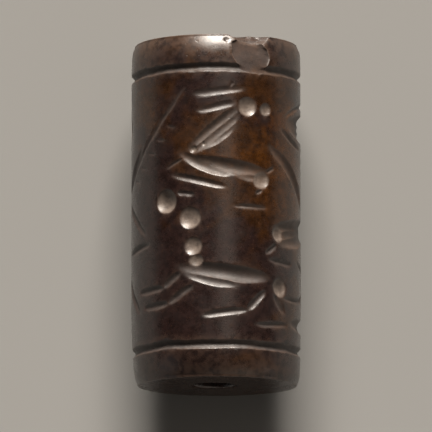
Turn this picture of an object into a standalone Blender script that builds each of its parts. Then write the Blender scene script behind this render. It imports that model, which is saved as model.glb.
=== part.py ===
"""Cylinder seal: a pierced stone roller carved all round with drilled and wheel-cut figures.

The seal lies on its side on a small worn flat, its axis along Y and its upper end at +Y.
A place on its wall is (girth, height) in millimetres: girth runs round the wall to the right
of the front line, seen from outside, and height runs up from the lower end. The front line
faces +Z. Every cut is a ball of the tool's width, drawn out along its stroke, bent round the
wall and taken away from the turned body.
"""

import math

import bmesh
import bpy
from mathutils import Vector

MM = 0.001

# The turned body, in millimetres.
LENGTH = 30.0
RADIUS = 7.425
BODY_SIDES = 60
RIM_ROUND = 0.8
RIM_STEPS = 3
FLAT_WIDTH = 3.4
AXIS_HEIGHT = math.sqrt(RADIUS ** 2 - (FLAT_WIDTH / 2) ** 2)

# The lower end was ground a little thinner, more on one side.
TAPER_HEIGHT = 8.0
TAPER_DEPTH = 0.2
TAPER_LEAN = 0.1

# The two border grooves, and how much nearer the lower end the picture between them sits
# than the heights of its marks say.
LOWER_GROOVE = 2.75
UPPER_GROOVE = 27.0
PICTURE_DROP = 0.3
GROOVE_WIDTH = 0.8
GROOVE_DEPTH = 0.32

# The bore, drilled a little off the axis, with its mouth worn open.
BORE_RADIUS = 1.9
BORE_SIDES = 36
BORE_OFFSET = (-0.15, 0.2)
MOUTH_RADIUS = 2.2
MOUTH_DEPTH = 0.25

# How far the bore's and the flat's cutters run past the stone.
OVERRUN = 1.0

# Points nearer to each other than this after the carving are joined.
WELD_GAP = 0.01

# The flake struck off the upper rim: one wide shallow scar and one small deep one.
SCAR_BALL = 7.0
SCAR_GIRTH = 3.2
SCAR_HEIGHT = 28.2
SCAR_DEPTH = 0.6
SCAR_SLOPE = math.radians(10.0)
NICK_BALL = 1.15
NICK_GIRTH = 1.75
NICK_INSET = 0.9
NICK_DEPTH = 0.8

# How deep each kind of cut goes, as a share of its width.
DRILL_SINK = 0.30
BOAT_SINK = 0.30
LINE_SINK = 0.48

# How full a cut's outline is towards its ends: 1 is an ellipse, less is blunter.
BALL_FULLNESS = 1.0
LINE_FULLNESS = 0.6

# The two horned beasts face each other across the lens. A landmark is (girth, height), a
# drilled joint adds its width, and a cut lists its start, its end and, if it bends, a place
# between them.
LEFT_BEAST = {
    "head": (2.8, 23.85),
    "muzzle": (4.6, 23.7),
    "horns": [((2.6, 25.4), (-1.9, 24.9)), ((1.7, 24.1), (-1.7, 23.45))],
    "neck": ((-2.7, 19.6), (-0.15, 21.6), (2.0, 23.65)),
    "neck_spot": (-1.75, 20.2),
    "upper_body": ((-3.2, 19.6), (0.4, 18.2), (4.5, 17.9)),
    "shoulder": (4.15, 17.55),
    "belly_bars": [((-4.1, 17.95), (0.9, 16.75)), ((1.5, 15.1), (4.7, 15.1))],
    "joints": [(-4.65, 15.9, 2.05), (-2.3, 14.2, 1.95), (-2.0, 11.65, 1.6), (-1.75, 10.45, 1.35)],
    "lower_body": ((-3.4, 9.7), (0.2, 8.8), (4.3, 8.5)),
    "chest": (6.0, 8.45),
    "bent_legs": [
        ((-3.2, 9.35), (-4.9, 8.1), (-8.1, 8.0)),
        ((-2.0, 8.2), (-4.4, 6.7), (-7.4, 6.55)),
        ((4.6, 7.8), (2.8, 6.15), (-1.2, 5.65)),
    ],
    "short_leg": ((5.6, 7.5), (6.9, 6.0)),
    "ground_bar": ((3.6, 4.85), (7.3, 5.05)),
}
RIGHT_BEAST = {
    "head": (21.4, 23.2),
    "muzzle": (19.2, 23.4),
    "horns": [((21.8, 24.5), (24.6, 25.7)), ((22.6, 23.8), (26.0, 22.9))],
    "neck": ((25.8, 17.7), (23.6, 19.9), (21.8, 22.0)),
    "neck_spot": (23.9, 18.8),
    "upper_body": ((24.8, 18.2), (21.4, 16.8), (18.4, 15.7)),
    "shoulder": (17.8, 15.8),
    "belly_bars": [((27.5, 16.6), (23.2, 15.3)), ((16.1, 12.8), (21.3, 12.4))],
    "joints": [(28.1, 16.2, 2.3), (24.8, 14.6, 2.0), (25.1, 12.6, 1.85), (25.4, 10.6, 1.5)],
    "lower_body": ((25.6, 9.8), (21.4, 9.4), (17.7, 8.2)),
    "chest": (16.8, 8.6),
    "bent_legs": [
        ((26.3, 8.9), (28.1, 7.4), (31.3, 6.8)),
        ((23.7, 7.3), (25.6, 5.6), (30.9, 5.2)),
        ((18.1, 6.3), (20.1, 5.6), (23.3, 5.4)),
    ],
    "short_leg": ((17.2, 6.7), (15.7, 5.8)),
    "ground_bar": ((16.1, 4.9), (20.6, 4.5)),
}
DRILL_HEAD = 1.8
DRILL_MUZZLE = 1.15
DRILL_SPOT = 0.8
DRILL_SHOULDER = 1.7
DRILL_CHEST = 1.75
WHEEL_BODY = 1.7
WHEEL_NECK = 1.3
WHEEL_HORN = 0.72
WHEEL_LEG = 0.62

# The star between the beasts' backs: four limbs about one drilled centre.
STAR_GIRTH = -12.4
STAR_HEIGHT = 17.3
STAR_ARMS = {
    1: ((0.6, 16.8), (5.0, 20.5), (9.6, 25.5)),
    -1: ((-0.7, 16.9), (-4.2, 20.6), (-7.1, 25.4)),
}
STAR_LEG_REACH = 5.3
STAR_LEG_TOP = 16.4
STAR_LEG_FOOT = 12.9
STAR_FEET = {1: ((1.5, 11.7), (5.8, 12.1)), -1: ((-1.1, 11.8), (-5.8, 12.4))}


def on_seal(girth, height, radius):
    """World point in metres for a place on or under the wall."""
    turn = girth / RADIUS
    across = radius * math.sin(turn)
    up = AXIS_HEIGHT + radius * math.cos(turn)
    return Vector((across, height - LENGTH / 2, up)) * MM


def rim_arc(centre_height, start_angle):
    """Quarter circle that rounds one rim, from the angle given, up the profile."""
    points = []
    for step in range(RIM_STEPS + 1):
        angle = start_angle + math.pi / 2 * step / RIM_STEPS
        radius = RADIUS - RIM_ROUND + RIM_ROUND * math.cos(angle)
        points.append((radius, centre_height + RIM_ROUND * math.sin(angle)))
    return points


def groove(centre_height):
    """Rounded groove across the profile, from its lower lip to its upper lip."""
    points = []
    for place in (-1.0, -0.6, 0.0, 0.6, 1.0):
        depth = GROOVE_DEPTH * (1.0 - place ** 2)
        points.append((RADIUS - depth, centre_height + place * GROOVE_WIDTH / 2))
    return points


def body_profile():
    """(radius, height) points of the wall, from the lower end face to the upper one."""
    wall = [(RADIUS, height) for height in (5.0, TAPER_HEIGHT)]
    lower = rim_arc(RIM_ROUND, -math.pi / 2) + groove(LOWER_GROOVE)
    upper = groove(UPPER_GROOVE) + rim_arc(LENGTH - RIM_ROUND, 0.0)
    return lower + wall + upper


def taper(vert):
    """Thin the lower end, and lean it a little to the right."""
    height = vert.co.y / MM + LENGTH / 2
    share = max(0.0, 1.0 - height / TAPER_HEIGHT) ** 2
    scale = 1.0 - TAPER_DEPTH * share / RADIUS
    centre = AXIS_HEIGHT * MM
    vert.co.x = vert.co.x * scale + TAPER_LEAN * MM * share
    vert.co.z = centre + (vert.co.z - centre) * scale


def make_material(name, colour, roughness):
    """Plain finish for a solid."""
    material = bpy.data.materials.new(name)
    material.use_nodes = True
    shader = material.node_tree.nodes["Principled BSDF"]
    shader.inputs["Base Color"].default_value = (*colour, 1.0)
    shader.inputs["Roughness"].default_value = roughness
    shader.inputs["Metallic"].default_value = 0.0
    material.diffuse_color = (*colour, 1.0)
    return material


def make_object(name, mesh_builder, collection):
    """Make one object from a function that fills a bmesh."""
    bm = bmesh.new()
    mesh_builder(bm)
    bmesh.ops.recalc_face_normals(bm, faces=bm.faces[:])
    mesh = bpy.data.meshes.new(name)
    bm.to_mesh(mesh)
    bm.free()
    thing = bpy.data.objects.new(name, mesh)
    collection.objects.link(thing)
    return thing


def build_body(bm):
    """Turn the wall's profile round the axis, thin the lower end and close both ends."""
    verts = [bm.verts.new(on_seal(0.0, height, radius)) for radius, height in body_profile()]
    edges = [bm.edges.new(pair) for pair in zip(verts, verts[1:])]
    centre = (0.0, 0.0, AXIS_HEIGHT * MM)
    bmesh.ops.spin(bm, geom=verts + edges, cent=centre, axis=(0.0, 1.0, 0.0),
                   angle=2 * math.pi, steps=BODY_SIDES, use_merge=True)
    for vert in bm.verts:
        taper(vert)
    open_edges = [edge for edge in bm.edges if edge.is_boundary]
    bmesh.ops.holes_fill(bm, edges=open_edges, sides=0)


def stroke_point(start, middle, end, along):
    """Place at a share of the way along a stroke that bends through its middle."""
    first = (1 - along) * (1 - 2 * along)
    second = 4 * along * (1 - along)
    third = along * (2 * along - 1)
    return start * first + middle * second + end * third


def draw_out(bm, places, width, sink, fullness, sides, rings):
    """Add a ball drawn out along two or three marks of the picture, bent round the wall.

    fullness keeps the ball's outline round at 1 and makes its ends blunter below 1.
    """
    start = Vector(places[0])
    end = Vector(places[-1])
    middle = Vector(places[1]) if len(places) == 3 else (start + end) / 2
    ball = bmesh.ops.create_uvsphere(bm, u_segments=sides, v_segments=rings, radius=1.0)
    for vert in ball["verts"]:
        across, out, along = vert.co
        swell = math.hypot(across, out)
        swell = swell ** (fullness - 1) if swell > 1e-6 else 0.0
        share = (along + 1) / 2
        place = stroke_point(start, middle, end, share)
        ahead = stroke_point(start, middle, end, share + 0.01)
        heading = (ahead - place).normalized()
        place += Vector((-heading.y, heading.x)) * across * swell * width / 2
        height = place.y - PICTURE_DROP
        vert.co = on_seal(place.x, height, RADIUS + out * swell * sink * width)


def drill(bm, place, width):
    """Round pit left by a drill."""
    girth, height = place
    ends = [(girth - width / 2, height), (girth + width / 2, height)]
    draw_out(bm, ends, width, DRILL_SINK, BALL_FULLNESS, sides=9, rings=6)


def boat(bm, places, width):
    """Wide boat-shaped cut of a thick wheel, full in the middle and fine at its ends."""
    draw_out(bm, places, width, BOAT_SINK, BALL_FULLNESS, sides=8, rings=8)


def line(bm, places, width):
    """Narrow cut of a thin wheel, even in width, with short rounded ends."""
    draw_out(bm, places, width, LINE_SINK, LINE_FULLNESS, sides=6, rings=7)


def bent_line(bm, corners, width):
    """Two or more straight cuts that meet at a joint, such as a bent leg."""
    for pair in zip(corners, corners[1:]):
        line(bm, list(pair), width)


def carve_beast(bm, beast):
    """Horned beast from the side: drilled head and joints, wheel-cut body, horns and legs."""
    drill(bm, beast["head"], DRILL_HEAD)
    drill(bm, beast["muzzle"], DRILL_MUZZLE)
    drill(bm, beast["neck_spot"], DRILL_SPOT)
    drill(bm, beast["shoulder"], DRILL_SHOULDER)
    drill(bm, beast["chest"], DRILL_CHEST)
    for girth, height, width in beast["joints"]:
        drill(bm, (girth, height), width)
    boat(bm, beast["neck"], WHEEL_NECK)
    boat(bm, beast["upper_body"], WHEEL_BODY)
    boat(bm, beast["lower_body"], WHEEL_BODY)
    for places in beast["horns"]:
        line(bm, places, WHEEL_HORN)
    for places in beast["belly_bars"] + [beast["short_leg"], beast["ground_bar"]]:
        line(bm, places, WHEEL_LEG)
    for corners in beast["bent_legs"]:
        bent_line(bm, corners, WHEEL_LEG)


def carve_left_beast(bm):
    """The beast on the front of the seal, which looks to the right."""
    carve_beast(bm, LEFT_BEAST)


def carve_right_beast(bm):
    """The beast on the right of the seal, which looks to the left."""
    carve_beast(bm, RIGHT_BEAST)


def carve_lens(bm):
    """Eye-shaped lens with a brow above it, high between the beasts' heads."""
    boat(bm, [(7.2, 22.8), (11.5, 22.8), (15.8, 23.25)], 2.3)
    line(bm, [(6.9, 23.3), (11.4, 24.9), (16.2, 24.2)], 0.5)
    line(bm, [(6.4, 22.3), (8.2, 21.3), (10.0, 20.9)], 0.5)


def carve_middle_figure(bm):
    """Figure under the lens: two raised arms, a body, curved cuts and a leaf on the ground."""
    drill(bm, (14.6, 20.0), 1.6)
    drill(bm, (16.2, 20.2), 1.0)
    drill(bm, (12.8, 15.3), 1.0)
    drill(bm, (6.2, 13.0), 1.6)
    boat(bm, [(4.9, 20.6), (8.5, 18.2), (11.3, 15.5)], 0.95)
    line(bm, [(14.4, 18.2), (11.8, 15.8)], 0.75)
    boat(bm, [(5.5, 12.8), (9.8, 13.5), (13.8, 14.2)], 2.0)
    line(bm, [(5.0, 10.6), (8.0, 10.45)], 0.55)
    line(bm, [(9.2, 10.8), (11.4, 10.0), (11.2, 8.5)], 0.5)
    line(bm, [(11.3, 8.7), (10.2, 7.6), (6.7, 7.4)], 0.5)
    line(bm, [(15.1, 11.3), (13.3, 9.6), (15.3, 8.1)], 0.55)
    boat(bm, [(7.8, 5.3), (11.3, 5.4), (14.9, 5.7)], 1.25)


def carve_star(bm):
    """Four-limbed star: raised arms, spread legs on bars, and a drilled ball above and below."""
    drill(bm, (STAR_GIRTH, STAR_HEIGHT), 1.35)
    drill(bm, (STAR_GIRTH + 1.1, 22.8), 2.0)
    drill(bm, (STAR_GIRTH - 0.1, 10.3), 1.65)
    for side in (1, -1):
        arm = [(STAR_GIRTH + girth, height) for girth, height in STAR_ARMS[side]]
        foot = [(STAR_GIRTH + girth, height) for girth, height in STAR_FEET[side]]
        hip = (STAR_GIRTH + side, STAR_LEG_TOP)
        ankle = (STAR_GIRTH + side * STAR_LEG_REACH, STAR_LEG_FOOT)
        boat(bm, arm, 1.2)
        line(bm, [hip, ankle], 0.65)
        line(bm, foot, 0.65)
    line(bm, [(STAR_GIRTH + 0.9, 9.6), (STAR_GIRTH + 4.3, 6.2)], 0.7)


def cut_bore(bm):
    """Hole from end to end, with a shallow cone at each mouth."""
    steps = (
        (-OVERRUN, MOUTH_RADIUS),
        (0.0, MOUTH_RADIUS),
        (MOUTH_DEPTH, BORE_RADIUS),
        (LENGTH - MOUTH_DEPTH, BORE_RADIUS),
        (LENGTH, MOUTH_RADIUS),
        (LENGTH + OVERRUN, MOUTH_RADIUS),
    )
    middle = on_seal(0.0, 0.0, 0.0) + Vector((BORE_OFFSET[0], 0.0, BORE_OFFSET[1])) * MM
    verts = [bm.verts.new(middle + Vector((0.0, height, radius)) * MM) for height, radius in steps]
    edges = [bm.edges.new(pair) for pair in zip(verts, verts[1:])]
    bmesh.ops.spin(bm, geom=verts + edges, cent=middle, axis=(0.0, 1.0, 0.0),
                   angle=2 * math.pi, steps=BORE_SIDES, use_merge=True)
    open_edges = [edge for edge in bm.edges if edge.is_boundary]
    bmesh.ops.holes_fill(bm, edges=open_edges, sides=0)


def cut_flat(bm):
    """Block under the seal that takes off the worn flat it lies on."""
    block = bmesh.ops.create_cube(bm, size=1.0)["verts"]
    size = Vector((2 * RADIUS, LENGTH + 2 * OVERRUN, 2 * OVERRUN))
    bmesh.ops.scale(bm, vec=size * MM, verts=block)
    bmesh.ops.translate(bm, vec=Vector((0.0, 0.0, -OVERRUN)) * MM, verts=block)


def cut_flake(bm):
    """Scars on the upper rim: a wide one from a big ball, and a small deep one at its left."""
    reach = SCAR_BALL - SCAR_DEPTH
    radius = RADIUS + reach * math.cos(SCAR_SLOPE)
    place = on_seal(SCAR_GIRTH, SCAR_HEIGHT + reach * math.sin(SCAR_SLOPE), radius)
    scar = bmesh.ops.create_uvsphere(bm, u_segments=48, v_segments=24, radius=SCAR_BALL * MM)
    bmesh.ops.translate(bm, vec=place, verts=scar["verts"])
    place = on_seal(NICK_GIRTH, LENGTH + NICK_BALL - NICK_DEPTH, RADIUS - NICK_INSET)
    nick = bmesh.ops.create_uvsphere(bm, u_segments=12, v_segments=8, radius=NICK_BALL * MM)
    bmesh.ops.translate(bm, vec=place, verts=nick["verts"])


CUTTERS = {
    "cut_left_beast": carve_left_beast,
    "cut_right_beast": carve_right_beast,
    "cut_lens": carve_lens,
    "cut_middle_figure": carve_middle_figure,
    "cut_star": carve_star,
    "cut_bore": cut_bore,
    "cut_flat": cut_flat,
    "cut_flake": cut_flake,
}


def main():
    for thing in list(bpy.data.objects):
        bpy.data.objects.remove(thing, do_unlink=True)

    scene_collection = bpy.context.scene.collection
    seal = make_object("seal_stone", build_body, scene_collection)
    seal.data.materials.append(make_material("brown_stone", (0.045, 0.018, 0.010), 0.35))
    seal.data.shade_smooth()
    seal.data.set_sharp_from_angle(angle=math.radians(35.0))

    cutters = bpy.data.collections.new("cutters")
    scene_collection.children.link(cutters)
    for name, builder in CUTTERS.items():
        cutter = make_object(name, builder, cutters)
        cutter.hide_render = True
        cutter.display_type = "WIRE"

    carving = seal.modifiers.new("carving", "BOOLEAN")
    carving.operation = "DIFFERENCE"
    carving.solver = "EXACT"
    carving.operand_type = "COLLECTION"
    carving.collection = cutters
    carving.use_self = True

    tidying = seal.modifiers.new("tidying", "WELD")
    tidying.merge_threshold = WELD_GAP * MM


main()
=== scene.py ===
# %% [markdown]
# # A cylinder seal, turned, pierced, carved and polished
#
# A cylinder seal is a small stone roller with a picture cut into its wall, in reverse and
# hollow, so that it leaves a raised frieze when it is rolled over clay. The whole seal is one
# stone. It could be carved with Booleans, but they leave knife-sharp lips. Here the stone is
# turned as a blank with a spin, its mesh is split finely where a cut will pass, and then every
# point is pushed in by the depth of the cut at that place, as a sculptor's brush would do.
# That gives lips a little rounded by wear, ridges between neighbouring cuts, and an exact
# depth at every point, which the stone's finish can use later.

# %% Load the fixed frame and read the stone's size from it
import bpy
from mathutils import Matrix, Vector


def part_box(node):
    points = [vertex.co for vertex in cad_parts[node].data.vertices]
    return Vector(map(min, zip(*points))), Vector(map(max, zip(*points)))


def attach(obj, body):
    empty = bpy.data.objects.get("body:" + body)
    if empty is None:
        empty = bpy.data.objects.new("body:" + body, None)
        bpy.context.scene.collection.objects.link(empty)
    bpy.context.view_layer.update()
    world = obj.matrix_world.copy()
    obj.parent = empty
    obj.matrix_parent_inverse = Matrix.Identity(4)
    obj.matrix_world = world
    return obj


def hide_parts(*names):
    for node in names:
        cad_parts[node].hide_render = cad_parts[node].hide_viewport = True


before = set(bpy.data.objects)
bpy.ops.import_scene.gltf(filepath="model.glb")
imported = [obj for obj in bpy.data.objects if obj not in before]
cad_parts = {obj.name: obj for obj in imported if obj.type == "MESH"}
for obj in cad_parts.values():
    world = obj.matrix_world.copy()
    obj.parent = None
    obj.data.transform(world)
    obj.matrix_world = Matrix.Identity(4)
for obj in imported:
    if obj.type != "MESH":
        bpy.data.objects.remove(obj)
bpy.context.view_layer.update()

import math

import bmesh
import bpy
import numpy as np
from mathutils import Vector, noise

MM = 0.001
low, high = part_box("seal_stone")
LENGTH = (high.y - low.y) / MM
RADIUS = (high.x - low.x) / 2 / MM
AXIS_HEIGHT = high.z / MM - RADIUS
GIRTH = 2 * math.pi * RADIUS
print(f"stone {LENGTH:.2f} mm long, {2 * RADIUS:.2f} mm across, axis {AXIS_HEIGHT:.2f} mm up")

# %% [markdown]
# ## Places on the stone
#
# The seal lies along Y with its upper end at +Y, and the front line of its picture faces
# straight up. A place on the wall is given as the engraver would mark it out on the unrolled
# picture, in millimetres: `girth` runs round the wall to the right of the front line, and
# `height` runs up from the lower end. Two helpers turn such places into points in the
# frame and back, for whole arrays of points at once. A third gives a smooth random swell over
# the wall, for all that a hand or an age of wear leaves uneven.

# %% From the unrolled picture to the stone, and back
def to_stone(girth, height, radius):
    """Points in metres for arrays of places, in millimetres."""
    turn = girth / RADIUS
    across = radius * np.sin(turn)
    up = AXIS_HEIGHT + radius * np.cos(turn)
    return np.stack([across, height - LENGTH / 2, up], axis=-1) * MM


def to_picture(points):
    """Girth, height and radius in millimetres for an array of points in metres."""
    across, along, up = (points / MM).T
    up = up - AXIS_HEIGHT
    return np.arctan2(across, up) * RADIUS, along + LENGTH / 2, np.hypot(across, up)


def ripple(girth, height, wave, seed):
    """Smooth random swell from -1 to 1 over the wall, seamless round the stone."""
    turn = girth / RADIUS
    size = RADIUS / wave
    columns = (np.sin(turn) * size, height / wave + seed, np.cos(turn) * size)
    return np.array([noise.noise(place) for place in zip(*columns)])


front = to_stone(np.array([0.0]), np.array([LENGTH / 2]), np.array([RADIUS]))[0]
print("front line, half way up:", [round(float(value), 5) for value in front])

# %% [markdown]
# ## The blank
#
# The blank is a thick-walled tube: outer wall, two end faces, and the bore with its worn
# mouths. All of it has one closed outline, so a spin of that outline makes it in one go, with
# no ends to close. Handling wears a rim back along the wall, so the rim isn't a round: it
# leans in more and more steeply over the last two millimetres, and turns into the end face
# over a small corner. The blank is spun with its rims fully worn; where they were rubbed less,
# they are filled out again when the stone is carved. The two border grooves aren't in the
# outline, because they were cut by hand like the figures and wander a little.

# %% Sizes of the blank, and the wear of its rims
RIM_LONG = 2.7
RIM_DEEP = 0.6
RIM_POWER = 2.2
CORNER = 0.12
CORNER_STEPS = 3
EDGE_LONG = 0.9
EDGE_DEEP = 0.2
EDGE_STEP = 0.13
RIM_STEP = 0.26
BORE_RADIUS = 1.9
MOUTH_RADIUS = 2.2
MOUTH_DEPTH = 0.25
MOUTH_STEPS = 4
NEAR_MOUTH = 4.0
NEAR_MOUTH_STEP = 0.5
BORE_STEP = 1.8
WALL_STEP = 0.28
FACE_STEP = 0.3
TURN_STEPS = 168


def spaced(start, end, step):
    """Even steps from start up to, not including, end."""
    count = max(1, round(abs(end - start) / step))
    return [start + (end - start) * index / count for index in range(count)]


def rim_drop_at(from_end, rubbed=1.0):
    """How far the rim lies inside the wall, at a distance from the nearer end.

    rubbed is 1 where the rim is fully worn, and 0 where it is still an even, narrow edge."""
    worn = np.clip((RIM_LONG - from_end) / (RIM_LONG - CORNER), 0, 1)
    fresh = np.clip((EDGE_LONG - from_end) / (EDGE_LONG - CORNER), 0, 1)
    return rubbed * RIM_DEEP * worn ** RIM_POWER + (1 - rubbed) * EDGE_DEEP * fresh ** 2


print(f"worn rims lean in {RIM_DEEP} mm over {RIM_LONG} mm, the bore is {2 * BORE_RADIUS} mm")

# %% Outline of the blank
def half_outline():
    """(radius, distance from the nearer end) from the middle of the bore out to the wall."""
    bore_places = spaced(LENGTH / 2, NEAR_MOUTH, BORE_STEP)
    bore_places += spaced(NEAR_MOUTH, MOUTH_DEPTH, NEAR_MOUTH_STEP)
    bore = [(BORE_RADIUS, place) for place in bore_places]
    mouth = []
    for step in range(MOUTH_STEPS):
        angle = math.pi / 2 * step / MOUTH_STEPS
        radius = MOUTH_RADIUS - (MOUTH_RADIUS - BORE_RADIUS) * math.cos(angle)
        mouth.append((radius, MOUTH_DEPTH * (1 - math.sin(angle))))
    corner_radius = RADIUS - RIM_DEEP - CORNER
    face = [(radius, 0.0) for radius in spaced(MOUTH_RADIUS, corner_radius, FACE_STEP)]
    corner = []
    for step in range(CORNER_STEPS):
        angle = math.pi / 2 * step / CORNER_STEPS
        inward = CORNER * (1 - math.cos(angle))
        corner.append((corner_radius + CORNER * math.sin(angle), inward))
    rim = []
    for place in spaced(CORNER, EDGE_LONG, EDGE_STEP) + spaced(EDGE_LONG, RIM_LONG, RIM_STEP):
        rim.append((RADIUS - rim_drop_at(place), place))
    wall = [(RADIUS, place) for place in spaced(RIM_LONG, LENGTH / 2, WALL_STEP)]
    return bore + mouth + face + corner + rim + wall


half = half_outline()
outline = half + [(radius, LENGTH - place) for radius, place in reversed(half[1:])]
outline.insert(len(half), (RADIUS, LENGTH / 2))
print(f"outline of {len(outline)} points")

# %% Spin the outline into the blank
stone = bmesh.new()
rows = np.array(outline)
points = to_stone(np.zeros(len(rows)), rows[:, 1], rows[:, 0])
loop = [stone.verts.new(point) for point in points]
edges = [stone.edges.new(pair) for pair in zip(loop, loop[1:] + loop[:1])]
axis_point = (0.0, 0.0, AXIS_HEIGHT * MM)
bmesh.ops.spin(stone, geom=loop + edges, cent=axis_point, axis=(0.0, 1.0, 0.0),
               angle=2 * math.pi, steps=TURN_STEPS, use_merge=True)
bmesh.ops.recalc_face_normals(stone, faces=stone.faces[:])
print(f"blank: {len(stone.faces)} faces, closed {all(e.is_manifold for e in stone.edges)}")

# %% [markdown]
# ## The engraver's tools
#
# The picture is made with two tools. A drill leaves round pits: heads, joints, balls. A small
# wheel leaves strokes: a thick wheel a boat-shaped cut for a body, a thin one a narrow line
# for a leg or a horn. Each cut is kept as a short record, and one formula gives its depth at
# any place: deepest along the middle of the stroke, fading towards its ends as the wheel
# lifts, and rising to the lips with the roundness of the tool.

# %% Tools: drill, wheel, and several wheel passes side by side
DRILL_SINK = 0.19
BOAT_SINK = 0.27
LINE_SINK = 0.27
cuts = []


def add_cut(places, width, depth, lift, bowl, lean=1.0, wheel=1.0):
    """Record a cut. lift is how late it fades at its ends, bowl how square its bed is, and
    lean above 1 moves its fullest part towards the far end. wheel is 0 for a drilled pit."""
    cuts.append({"places": places, "width": width, "depth": depth, "lift": lift, "bowl": bowl,
                 "lean": lean, "wheel": wheel})


def drill(girth, height, width, sink=DRILL_SINK):
    """Round pit."""
    add_cut([(girth, height)], width, width * sink, lift=2.0, bowl=2.4, wheel=0.0)


def boat(places, width, sink=BOAT_SINK, lean=1.0):
    """Boat-shaped cut of a thick wheel."""
    add_cut(places, width, width * sink, lift=2.2, bowl=2.2, lean=lean)


def line(places, width, sink=LINE_SINK):
    """Narrow cut of a thin wheel, even in width."""
    add_cut(places, width, width * sink, lift=4.0, bowl=1.7)


def bent_line(corners, width, sink=LINE_SINK):
    """Straight cuts that meet at joints, such as a bent leg."""
    for pair in zip(corners, corners[1:]):
        line(list(pair), width, sink)


def passes(routes, sink=BOAT_SINK):
    """Several passes of a thick wheel side by side, with low ridges left between them."""
    for width, *places in routes:
        boat(places, width, sink, lean=1.15)


print(f"drill sinks {DRILL_SINK}, thick wheel {BOAT_SINK}, thin wheel {LINE_SINK} of its width")

# %% [markdown]
# ## The two horned beasts
#
# Two long-necked, horned beasts face each other. They are the same beast by the same hand, so
# one function cuts both, and a table of landmarks says where each one's head, shoulder, joints
# and feet fall. The necks and bodies were opened with several passes of a thick wheel side by
# side, so each of them is a short list of passes, and fine ridges are left where two meet.

# %% Landmarks of the beast on the front, which looks to the right
LEFT_BEAST = {
    "drilled": {
        "head": (2.8, 23.85, 1.75),
        "muzzle": (4.6, 23.7, 1.15),
        "nape": (-1.95, 20.1, 0.7, 0.33),
        "throat": (-1.05, 20.55, 0.6, 0.4),
        "shoulder": (4.15, 17.55, 1.7),
        "chest": (6.3, 8.25, 1.75),
        "hip": (-4.65, 15.65, 2.1, 0.25),
        "knee": (-2.3, 14.1, 1.95),
        "hock": (-2.0, 11.6, 1.6),
        "ankle": (-1.75, 10.3, 1.35),
    },
    "neck": [
        (0.95, (-2.5, 20.0), (-0.5, 21.7), (1.9, 23.7)),
        (0.95, (-2.1, 19.7), (0.0, 21.35), (1.9, 23.1)),
        (0.6, (-1.2, 20.1), (0.5, 21.15), (1.6, 22.2)),
    ],
    "upper_body": [
        (1.35, (-2.9, 19.5), (0.3, 18.7), (4.9, 18.1)),
        (1.05, (-3.3, 19.95), (-1.1, 18.7), (1.6, 17.9)),
        (0.8, (1.6, 18.0), (2.9, 17.75), (4.2, 17.6)),
    ],
    "lower_body": [
        (1.5, (-3.5, 9.85), (0.3, 9.35), (5.0, 8.95)),
        (0.85, (-3.0, 9.4), (-0.5, 8.6), (1.9, 8.2)),
    ],
    "horns": [((2.6, 25.4), (-1.9, 24.9)), ((1.7, 24.1), (-1.7, 23.45))],
    "bars": [
        (0.65, (-4.1, 17.95), (0.9, 16.75)),
        (0.45, (1.5, 15.1), (4.7, 15.1)),
        (0.5, (-3.5, 16.3), (-1.9, 16.1)),
        (0.55, (3.6, 4.85), (7.3, 5.05)),
        (0.6, (5.6, 7.5), (6.9, 6.0)),
        (0.3, (1.3, 25.4), (1.45, 26.0)),
        (0.4, (4.7, 18.2), (5.6, 18.7)),
        (0.35, (3.6, 16.3), (4.3, 16.65)),
        (0.3, (-2.9, 19.4), (-4.6, 18.5)),
    ],
    "bent_legs": [
        ((-3.2, 9.35), (-4.9, 8.1), (-8.1, 8.0)),
        ((-2.0, 8.2), (-4.4, 6.7), (-7.4, 6.55)),
        ((4.6, 7.8), (2.8, 6.1), (-1.2, 5.6)),
    ],
}
print("front beast:", {part: len(marks) for part, marks in LEFT_BEAST.items()})

# %% Landmarks of the beast on the right, which looks back at the first
RIGHT_BEAST = {
    "drilled": {
        "head": (21.4, 23.2, 1.8),
        "muzzle": (19.2, 23.4, 1.15),
        "nape": (23.9, 18.8, 0.95),
        "throat": (25.0, 18.9, 0.5),
        "shoulder": (17.8, 15.8, 1.6),
        "chest": (16.8, 8.6, 1.8),
        "hip": (28.1, 16.2, 2.3),
        "knee": (24.8, 14.6, 2.0),
        "hock": (25.1, 12.6, 1.85),
        "ankle": (25.4, 10.6, 1.5),
    },
    "neck": [
        (0.85, (25.9, 17.9), (23.9, 20.3), (22.1, 22.3)),
        (0.8, (25.8, 17.7), (23.6, 19.9), (21.8, 22.0)),
        (0.7, (25.6, 17.6), (23.3, 19.6), (21.5, 21.6)),
    ],
    "upper_body": [
        (1.3, (24.9, 18.3), (21.3, 17.3), (17.6, 16.2)),
        (1.3, (24.8, 18.2), (21.4, 16.8), (18.2, 15.5)),
        (1.2, (24.6, 18.1), (21.7, 16.4), (19.6, 15.0)),
    ],
    "lower_body": [
        (1.2, (25.7, 9.9), (21.4, 9.9), (17.0, 8.7)),
        (1.2, (25.6, 9.8), (21.3, 9.4), (17.6, 8.0)),
        (1.1, (25.5, 9.7), (21.8, 8.9), (19.2, 7.6)),
    ],
    "horns": [((21.8, 24.5), (24.6, 25.7)), ((22.6, 23.8), (26.0, 22.9))],
    "bars": [
        (0.65, (27.5, 16.6), (23.2, 15.3)),
        (0.6, (16.1, 12.8), (21.3, 12.4)),
        (0.5, (27.0, 15.5), (25.0, 15.2)),
        (0.6, (16.1, 4.9), (20.6, 4.5)),
        (0.6, (17.2, 6.7), (15.7, 5.8)),
    ],
    "bent_legs": [
        ((26.3, 8.9), (28.1, 7.4), (31.3, 6.8)),
        ((23.7, 7.3), (25.6, 5.6), (30.9, 5.2)),
        ((18.1, 6.3), (20.1, 5.6), (23.3, 5.4)),
    ],
}
print("right beast:", {part: len(marks) for part, marks in RIGHT_BEAST.items()})

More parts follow.
